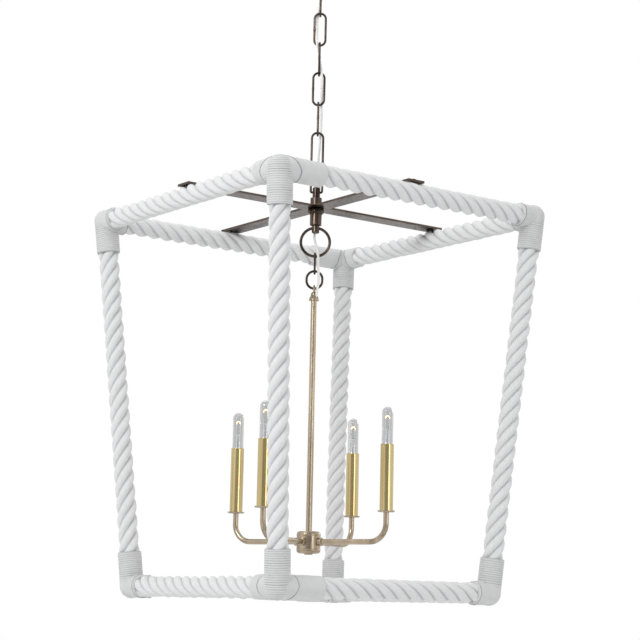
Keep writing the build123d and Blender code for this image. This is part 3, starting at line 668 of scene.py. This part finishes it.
class LANTERN_OT_stage(LanternOperator, bpy.types.Operator):
    """Adds the camera, soft studio lights, pale surroundings and floor"""

    bl_idname = "lantern.stage"
    bl_label = "Stage"

    def execute(self, context):
        stage = context.scene.lantern_stage
        self.add_camera(context, stage)
        self.add_lights(context)
        self.add_surroundings(context)
        self.add_floor(stage)
        context.scene.view_settings.view_transform = "Standard"
        return {"FINISHED"}

    def add_camera(self, context, stage):
        away = -ACROSS
        place = away * stage.distance + LEVEL * stage.sideways
        place.z = RAILS["top"][0] - stage.below_rail
        forward = -away * cos(stage.pitch) + UP * sin(stage.pitch)
        top = away * sin(stage.pitch) + UP * cos(stage.pitch)
        right = LEVEL * cos(stage.roll) + top * sin(stage.roll)
        top = -LEVEL * sin(stage.roll) + top * cos(stage.roll)
        camera = bpy.data.cameras.new("camera")
        camera.lens = stage.lens
        camera.sensor_width = 36.0
        camera.clip_end = 60.0
        holder = bpy.data.objects.new("camera", camera)
        holder.matrix_world = Matrix((right, top, -forward)).transposed().to_4x4()
        holder.location = place
        context.scene.collection.objects.link(holder)
        context.scene.camera = holder

    def add_lights(self, context):
        away = -ACROSS
        heart = middle("frame_core")
        for name, out, side, rise, size, power in (
            ("key_softbox", 2.3, -1.6, 1.3, 1.2, 34),
            ("fill_softbox", 2.6, 2.2, 0.0, 1.0, 7),
            ("top_softbox", -0.6, -0.2, 2.4, 1.6, 12),
            ("rim_softbox", -2.4, 1.8, 0.8, 1.0, 9),
        ):
            light = bpy.data.lights.new(name, "AREA")
            light.size = size
            light.energy = power
            holder = bpy.data.objects.new(name, light)
            holder.location = heart + away * out + LEVEL * side + UP * rise
            holder.rotation_euler = (heart - holder.location).to_track_quat("-Z", "Y").to_euler()
            context.scene.collection.objects.link(holder)

    def add_surroundings(self, context):
        world = bpy.data.worlds.new("surroundings")
        context.scene.world = world
        world.use_nodes = True
        tree = world.node_tree
        seen = tree.nodes["Background"]
        seen.inputs["Color"].default_value = (1, 1, 1, 1)
        seen.inputs["Strength"].default_value = 1.0
        place = tree.nodes.new("ShaderNodeTexCoord")
        turned = add_node(tree, "ShaderNodeMapping", Rotation=(0, 0, -CHAIN_TURN))
        parts = tree.nodes.new("ShaderNodeSeparateXYZ")
        tree.links.new(place.outputs["Generated"], turned.inputs["Vector"])
        tree.links.new(turned.outputs["Vector"], parts.inputs["Vector"])
        sideways = tree.nodes.new("ShaderNodeMath")
        sideways.operation = "ABSOLUTE"
        tree.links.new(parts.outputs["X"], sideways.inputs[0])
        panels = spread(tree, sideways.outputs["Value"], 0.42, 0.62)
        sky = spread(tree, parts.outputs["Z"], -0.3, 0.9, 0.30, 1.0)
        room = mix_colours(tree, sky, (0.03, 0.03, 0.032), (0.85, 0.85, 0.85))
        lighting = add_node(tree, "ShaderNodeBackground", Strength=1.0)
        shades = mix_colours(tree, panels, room, (1.0, 1.0, 1.0))
        tree.links.new(shades, lighting.inputs["Color"])
        path = tree.nodes.new("ShaderNodeLightPath")
        chosen = tree.nodes.new("ShaderNodeMixShader")
        tree.links.new(path.outputs["Is Camera Ray"], chosen.inputs["Fac"])
        tree.links.new(lighting.outputs["Background"], chosen.inputs[1])
        tree.links.new(seen.outputs["Background"], chosen.inputs[2])
        tree.links.new(chosen.outputs["Shader"], tree.nodes["World Output"].inputs["Surface"])

    def add_floor(self, stage):
        material = plain_finish("floor", tuple(c * 0.98 for c in stage.floor), stage.floor, 0.7, 2.0)
        height = RAILS["bottom"][0] - stage.floor_drop
        reach = 9.0
        signs = ((-1, -1), (1, -1), (1, 1), (-1, 1))
        points = [Vector((x * reach, y * reach, height)) for x, y in signs]
        add_mesh("floor", points, [(0, 1, 2, 3)], material)


class LANTERN_OT_cord(LanternOperator, bpy.types.Operator):
    """Adds the supply cord, one stretch for each pair of links that it passes"""

    bl_idname = "lantern.cord"
    bl_label = "Supply cord"

    def execute(self, context):
        jacket = plain_finish("cord_jacket", (0.72, 0.71, 0.68), (0.84, 0.83, 0.80), 0.35, 90.0)
        heights = {f"chain_{n}": middle(f"chain_link_{n}").z for n in range(1, 6)}
        heights["connector"] = middle("connector_link").z
        upper = [("ceiling", None)] + [(body, heights[body]) for body in heights] + [("cage", None)]
        self.add_stretches("cord_upper", CORD_UPPER, upper, jacket)
        lower = [
            ("cage", None),
            ("ring", middle("hanging_ring").z),
            ("small_link", middle("small_link").z),
            ("small_ring", middle("small_ring").z),
            ("cluster", None),
        ]
        self.add_stretches("cord_lower", CORD_LOWER, lower, jacket)
        return {"FINISHED"}

    def add_stretches(self, node, route, bodies, jacket):
        line = cord_line(node, route)
        for n in range(len(bodies) - 1):
            above, high = bodies[n]
            below, low = bodies[n + 1]
            high = line[0].z if high is None else high
            low = line[-1].z - 0.001 if low is None else low
            path = cut_line(line, high, low)
            piece = tube(f"{node}_{above}_to_{below}", path, CORD_DIAMETER / 2, jacket)
            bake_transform(piece)
            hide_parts(node)


class LANTERN_OT_ropes(LanternOperator, bpy.types.Operator):
    """Adds the twelve laid ropes"""

    bl_idname = "lantern.ropes"
    bl_label = "Ropes"

    def execute(self, context):
        rope = context.scene.lantern_rope
        cotton = laid_cotton(rope)
        hidden = 0.030
        for n, name in enumerate(CORNERS):
            following = CORNERS[(n + 1) % 4]
            runs = {}
            for level in RAILS:
                runs[f"{level}_rope_{name}_{following}"] = (corner(level, name), corner(level, following))
            runs[f"leg_rope_{name}"] = (corner("bottom", name), corner("top", name))
            for node, (start, end) in runs.items():
                step = (end - start).normalized() * hidden
                piece = laid_rope(f"laid_{node}", start + step, end - step, cotton, rope)
                set_piece(piece, "cage", "rope", node)
        return {"FINISHED"}


class LANTERN_OT_wraps(LanternOperator, bpy.types.Operator):
    """Adds the wound twine on the legs, the tape on the rails and the seams at each corner"""

    bl_idname = "lantern.wraps"
    bl_label = "Corner wraps"

    def execute(self, context):
        wraps = context.scene.lantern_wraps
        twine_threads, tape_threads = 520.0, 1150.0  # to the metre
        twine = wound_cloth("wound_twine", wraps, twine_threads)
        tape = wound_cloth("smooth_tape", wraps, tape_threads)
        twine_start = 0.014
        # a thin near-black line of painted shade along the crease at each tape
        seam = plain_finish("crease_shade_line", wraps.seam, tuple(c * 2.2 for c in wraps.seam), 0.8, 300.0)
        for level, other in (("top", "bottom"), ("bottom", "top")):
            node = f"{level}_corner_wraps"
            for n, name in enumerate(CORNERS):
                centre = corner(level, name)
                leg = (corner(other, name) - centre).normalized()
                whole = n % 2 == 0
                radius = wraps.leg_radius
                profile, shades = whipping_profile(twine_start, wraps.leg_reach, radius, wraps, whole)
                if not whole:
                    edge = [(twine_start - 0.0015, radius - 0.004), (twine_start - 0.001, radius - 0.001)]
                    profile = edge + profile
                    # painted shade under the twine's turned-in start
                    shades = [0.5, 0.5] + shades
                piece = lathe(f"{level}_{name}_twine", centre, leg, profile, twine, shades=shades)
                set_piece(piece, "cage", "whipping", node)
                for turn in (-1, 1):
                    neighbour = CORNERS[(n + turn) % 4]
                    towards = (corner(level, neighbour) - centre).normalized()
                    outline = tape_profile(self.tape_reach(name, neighbour), wraps.rail_radius)
                    label = f"{level}_{name}_tape_to_{neighbour}"
                    piece = lathe(label, centre, towards, outline, tape, unevenness=0.0006)
                    set_piece(piece, "cage", "whipping", node)
                    self.add_seam(label, centre, towards, leg, whole, wraps, seam, node)
                if not whole:
                    self.add_elbow(f"{level}_{name}_elbow", centre, leg, wraps, tape, node)
        return {"FINISHED"}

    def tape_reach(self, name, neighbour):
        """How far the tape runs along a rail: shortest at the left and right corners."""
        if name in ("left", "right"):
            return 0.036
        return 0.050 if (name, neighbour) in (("front", "left"), ("back", "right")) else 0.082

    def add_seam(self, label, centre, towards, leg, whole, wraps, seam, node):
        """A near-black line of painted shade along a crease: slanted beside the leg at a whole corner, and
        round the tape's end elsewhere.
        """
        near, far = (0.010, 0.029) if whole else (0.0345, 0.0345)
        path = seam_loop(centre, towards, leg, wraps.rail_radius + 0.0001, near, far)
        piece = tube(f"{label}_seam", path, 0.0004, seam, sides=8, closed=True)
        set_piece(piece, "cage", "whipping", node)

    def add_elbow(self, name, centre, leg, wraps, tape, node):
        """The smooth rounded cover of a corner that has no twine round it."""
        radius = wraps.leg_radius + 0.0002
        collar = 0.016
        steps = 20
        profile = []
        for n in range(steps + 1):
            angle = pi / 2 * n / steps
            profile.append((-radius * cos(angle), max(0.0006, radius * sin(angle))))
        profile.append((collar, wraps.rail_radius + 0.0006))
        profile.append((collar + 0.001, wraps.rail_radius - 0.003))
        piece = lathe(name, centre, leg, profile, tape, unevenness=0.0006)
        set_piece(piece, "cage", "whipping", node)


class LANTERN_OT_ceiling(LanternOperator, bpy.types.Operator):
    """Finishes the canopy, its fittings and the parts that they hide"""

    bl_idname = "lantern.ceiling"
    bl_label = "Ceiling fitting"

    def execute(self, context):
        metals = context.scene.lantern_metals
        bronze = antique_bronze(metals)
        finish_nodes(bronze, "canopy", "canopy_ring_nut", "canopy_loop")
        finish_nodes(zinc_plate(metals), "ceiling_crossbar", "threaded_nipple", "lock_nut", "frame_core")
        low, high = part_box("canopy_ring_nut")
        spot = Vector((0, 0, (low.z + high.z) / 2))
        outside = (high.x - low.x) / 2
        grips, grip_radius = 28, 0.0006
        rise = Vector((0, 0, 0.0021))
        for n in range(grips):
            angle = 2 * pi * n / grips
            foot = spot + Vector((cos(angle), sin(angle), 0)) * outside
            piece = tube(f"ring_nut_grip_{n + 1}", [foot - rise, foot + rise], grip_radius, bronze, sides=8)
            set_piece(piece, "ceiling", "antique_bronze")
        return {"FINISHED"}


class LANTERN_OT_chain(LanternOperator, bpy.types.Operator):
    """Finishes the chain links and adds the weld on each"""

    bl_idname = "lantern.chain"
    bl_label = "Chain"

    def execute(self, context):
        bronze = antique_bronze(context.scene.lantern_metals)
        wire, side_reach = 0.0021, 0.0104
        for n in range(1, 6):
            node = f"chain_link_{n}"
            finish_nodes(bronze, node)
            out = ACROSS if n % 2 else LEVEL
            self.add_weld(f"{node}_weld", middle(node) - out * side_reach, wire, bronze, f"chain_{n}")
        finish_nodes(bronze, "connector_link")
        place = middle("connector_link") + LEVEL * side_reach
        self.add_weld("connector_weld", place, wire, bronze, "connector")
        return {"FINISHED"}

    def add_weld(self, name, place, wire, bronze, body):
        profile = []
        steps = 12
        half, bulge = 0.0042, 0.00045
        for n in range(steps + 1):
            share = n / steps
            swell = bulge * sin(pi * share) * (1 + 0.3 * sin(9 * share))
            profile.append((half * (2 * share - 1), wire + swell - 0.00005))
        piece = lathe(name, place, (0, 0, 1), profile, bronze, sides=20, unevenness=0.0003)
        set_piece(piece, body, "antique_bronze")


class LANTERN_OT_hanger(LanternOperator, bpy.types.Operator):
    """Finishes the stem, the collar, the cross bars and their screws"""

    bl_idname = "lantern.hanger"
    bl_label = "Stem and bars"

    def execute(self, context):
        bronze = antique_bronze(context.scene.lantern_metals)
        finish_nodes(bronze, "hanger_stem", "stem_collar", "cross_bar_x", "cross_bar_y", "bar_screws")
        below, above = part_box("stem_collar")[0].z - 0.0004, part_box("cross_bar_x")[1].z + 0.0008
        for name, height, radius in (("lower", below, 0.0122), ("upper", above, 0.01135)):
            path = ring_path(Vector((0, 0, height)), LEVEL, ACROSS, radius)
            piece = tube(f"stem_bead_{name}", path, 0.0009, bronze, sides=10, closed=True)
            set_piece(piece, "cage", "antique_bronze")
        return {"FINISHED"}


class LANTERN_OT_rings(LanternOperator, bpy.types.Operator):
    """Finishes the rings and the link between the stem and the cluster"""

    bl_idname = "lantern.rings"
    bl_label = "Rings"

    def execute(self, context):
        finish_nodes(antique_bronze(context.scene.lantern_metals), "hanging_ring", "small_link", "small_ring")
        return {"FINISHED"}


class LANTERN_OT_cluster(LanternOperator, bpy.types.Operator):
    """Finishes the rod, hub and arms, and adds the hub's rims and the finial's beads"""

    bl_idname = "lantern.cluster"
    bl_label = "Cluster"

    def execute(self, context):
        champagne = champagne_brass(context.scene.lantern_metals)
        finish_nodes(champagne, "rod_finial", "drop_rod", "hub", "hub_cap", "cap_nut")
        finish_nodes(champagne, "arms", "arm_ferrules", "drip_cups")
        low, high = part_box("hub")
        radius = (high.x - low.x) / 2
        rim = 0.0068
        for name, height in (("upper", high.z - rim), ("lower", low.z + rim)):
            path = ring_path(Vector((0, 0, height)), LEVEL, ACROSS, radius - 0.0004)
            piece = tube(f"hub_rim_{name}", path, 0.0010, champagne, sides=10, closed=True)
            set_piece(piece, "cluster", "champagne_brass")
        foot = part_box("rod_finial")[0].z
        for name, height, reach in (("foot", foot + 0.0012, 0.0088), ("lip", foot + 0.0034, 0.0084)):
            path = ring_path(Vector((0, 0, height)), LEVEL, ACROSS, reach)
            piece = tube(f"finial_bead_{name}", path, 0.0006, champagne, sides=10, closed=True)
            set_piece(piece, "cluster", "champagne_brass")
        return {"FINISHED"}


class LANTERN_OT_candles(LanternOperator, bpy.types.Operator):
    """Finishes the candle sleeves and sockets, and adds the sleeves' rolled lips"""

    bl_idname = "lantern.candles"
    bl_label = "Candles"

    def execute(self, context):
        brass = polished_brass(context.scene.lantern_metals)
        card = plain_finish("socket_card", (0.62, 0.58, 0.50), (0.80, 0.77, 0.70), 0.7, 120.0)
        finish_nodes(card, "lamp_sockets")
        for n in range(1, 5):
            node = f"candle_sleeve_{n}"
            finish_nodes(brass, node)
            low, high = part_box(node)
            spot = middle(node)
            radius = (high.x - low.x) / 2
            for name, height in (("top", high.z - 0.0004), ("foot", low.z + 0.0008)):
                path = ring_path(Vector((spot.x, spot.y, height)), LEVEL, ACROSS, radius - 0.0003)
                piece = tube(f"sleeve_{n}_lip_{name}", path, 0.0007, brass, sides=10, closed=True)
                set_piece(piece, "cluster", "polished_brass")
        return {"FINISHED"}


class LANTERN_OT_bulbs(LanternOperator, bpy.types.Operator):
    """Finishes the bulbs and adds the glass stem, wires, filament and thread inside each"""

    bl_idname = "lantern.bulbs"
    bl_label = "Bulbs"

    def execute(self, context):
        bulbs = context.scene.lantern_bulbs
        metals = context.scene.lantern_metals
        glass = clear_glass("bulb_glass", (0.96, 0.963, 0.967), 0.01)
        stem_glass = clear_glass("stem_glass", (0.88, 0.89, 0.90), 0.05)
        cap = metal("bulb_cap_brass", metals.brass_dark, metals.brass, (0.25, 0.4))
        wire = zinc_plate(metals)
        glow = filament_glow(bulbs)
        for n in range(1, 5):
            finish_nodes(glass, f"bulb_glass_{n}")
            finish_nodes(cap, f"bulb_base_{n}")
            self.fill_bulb(n, bulbs, stem_glass, cap, wire, glow)
        return {"FINISHED"}

    def fill_bulb(self, n, bulbs, stem_glass, cap, wire, glow):
        spot = middle(f"bulb_glass_{n}")
        foot = Vector((spot.x, spot.y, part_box(f"bulb_glass_{n}")[0].z + 0.0012))
        body = f"bulb_{n}"
        shares = ((0, 1), (0.010, 0.95), (0.020, 0.7), (0.027, 0.45), (0.033, 0.5))
        profile = [(along, bulbs.stem_radius * share) for along, share in shares] + [(0.035, 0.0006)]
        piece = lathe(f"bulb_{n}_stem", foot, UP, profile, stem_glass, sides=24)
        set_piece(piece, body, "bulb_glass")
        rise, half = 0.052, 0.0042
        for name, side in (("left", -1), ("right", 1)):
            bends = ((0.0016, 0.033), (0.0030, 0.043), (half, rise))
            path = [foot + LEVEL * side * out + UP * height for out, height in bends]
            piece = tube(f"bulb_{n}_wire_{name}", path, bulbs.wire_radius, wire, sides=8)
            set_piece(piece, body, "bulb_metal")
        coil = []
        turns, steps, coil_radius, arch = 9, 96, 0.0007, 0.0045
        for step in range(steps + 1):
            share = step / steps
            angle = 2 * pi * turns * share
            place = foot + LEVEL * half * (2 * share - 1) + UP * (rise + arch * sin(pi * share))
            coil.append(place + (ACROSS * cos(angle) + UP * sin(angle)) * coil_radius)
        piece = tube(f"bulb_{n}_filament", coil, bulbs.filament_radius / 2, glow, sides=6)
        set_piece(piece, body, "bulb_metal")
        self.add_thread(n, spot, cap, body)

    def add_thread(self, n, spot, cap, body):
        low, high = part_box(f"bulb_base_{n}")
        start, rise, ridge_radius = 0.004, 0.011, 0.0003
        reach = (high.x - low.x) / 2 - 0.0001
        thread = []
        turns, steps = 4, 96
        for step in range(steps + 1):
            share = step / steps
            angle = 2 * pi * turns * share
            place = Vector((spot.x, spot.y, low.z + start + rise * share))
            thread.append(place + (LEVEL * cos(angle) + ACROSS * sin(angle)) * reach)
        piece = tube(f"bulb_{n}_thread", thread, ridge_radius, cap, sides=8)
        set_piece(piece, body, "bulb_metal")


class LANTERN_PT_panel(bpy.types.Panel):
    """Shows the lantern's settings and a button for each of its operators"""

    bl_idname = "LANTERN_PT_panel"
    bl_label = "Lantern"
    bl_space_type = "VIEW_3D"
    bl_region_type = "UI"
    bl_category = "Lantern"

    def draw(self, context):
        for name in PROPERTY_GROUPS:
            box = self.layout.box()
            group = getattr(context.scene, name)
            for key in type(group).__annotations__:
                box.prop(group, key)
        for operator in OPERATORS:
            self.layout.operator(operator.bl_idname)


PROPERTY_GROUPS = {
    "lantern_rope": LanternRopeProperties,
    "lantern_wraps": LanternWrapProperties,
    "lantern_metals": LanternMetalProperties,
    "lantern_bulbs": LanternBulbProperties,
    "lantern_stage": LanternStageProperties,
}
OPERATORS = (
    LANTERN_OT_stage,
    LANTERN_OT_cord,
    LANTERN_OT_ropes,
    LANTERN_OT_wraps,
    LANTERN_OT_ceiling,
    LANTERN_OT_chain,
    LANTERN_OT_hanger,
    LANTERN_OT_rings,
    LANTERN_OT_cluster,
    LANTERN_OT_candles,
    LANTERN_OT_bulbs,
)


def register():
    for name, group in PROPERTY_GROUPS.items():
        bpy.utils.register_class(group)
        setattr(bpy.types.Scene, name, PointerProperty(type=group))
    for operator in OPERATORS:
        bpy.utils.register_class(operator)
    bpy.utils.register_class(LANTERN_PT_panel)


def unregister():
    bpy.utils.unregister_class(LANTERN_PT_panel)
    for operator in reversed(OPERATORS):
        bpy.utils.unregister_class(operator)
    for name, group in PROPERTY_GROUPS.items():
        delattr(bpy.types.Scene, name)
        bpy.utils.unregister_class(group)


def main():
    """Builds the lantern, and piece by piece."""
    register()
    bpy.ops.lantern.stage()
    bpy.ops.lantern.cord()
    bpy.ops.lantern.ropes()
    bpy.ops.lantern.wraps()
    bpy.ops.lantern.ceiling()
    bpy.ops.lantern.chain()
    bpy.ops.lantern.hanger()
    bpy.ops.lantern.rings()
    bpy.ops.lantern.cluster()
    bpy.ops.lantern.candles()
    bpy.ops.lantern.bulbs()


if __name__ == "__main__":
    main()
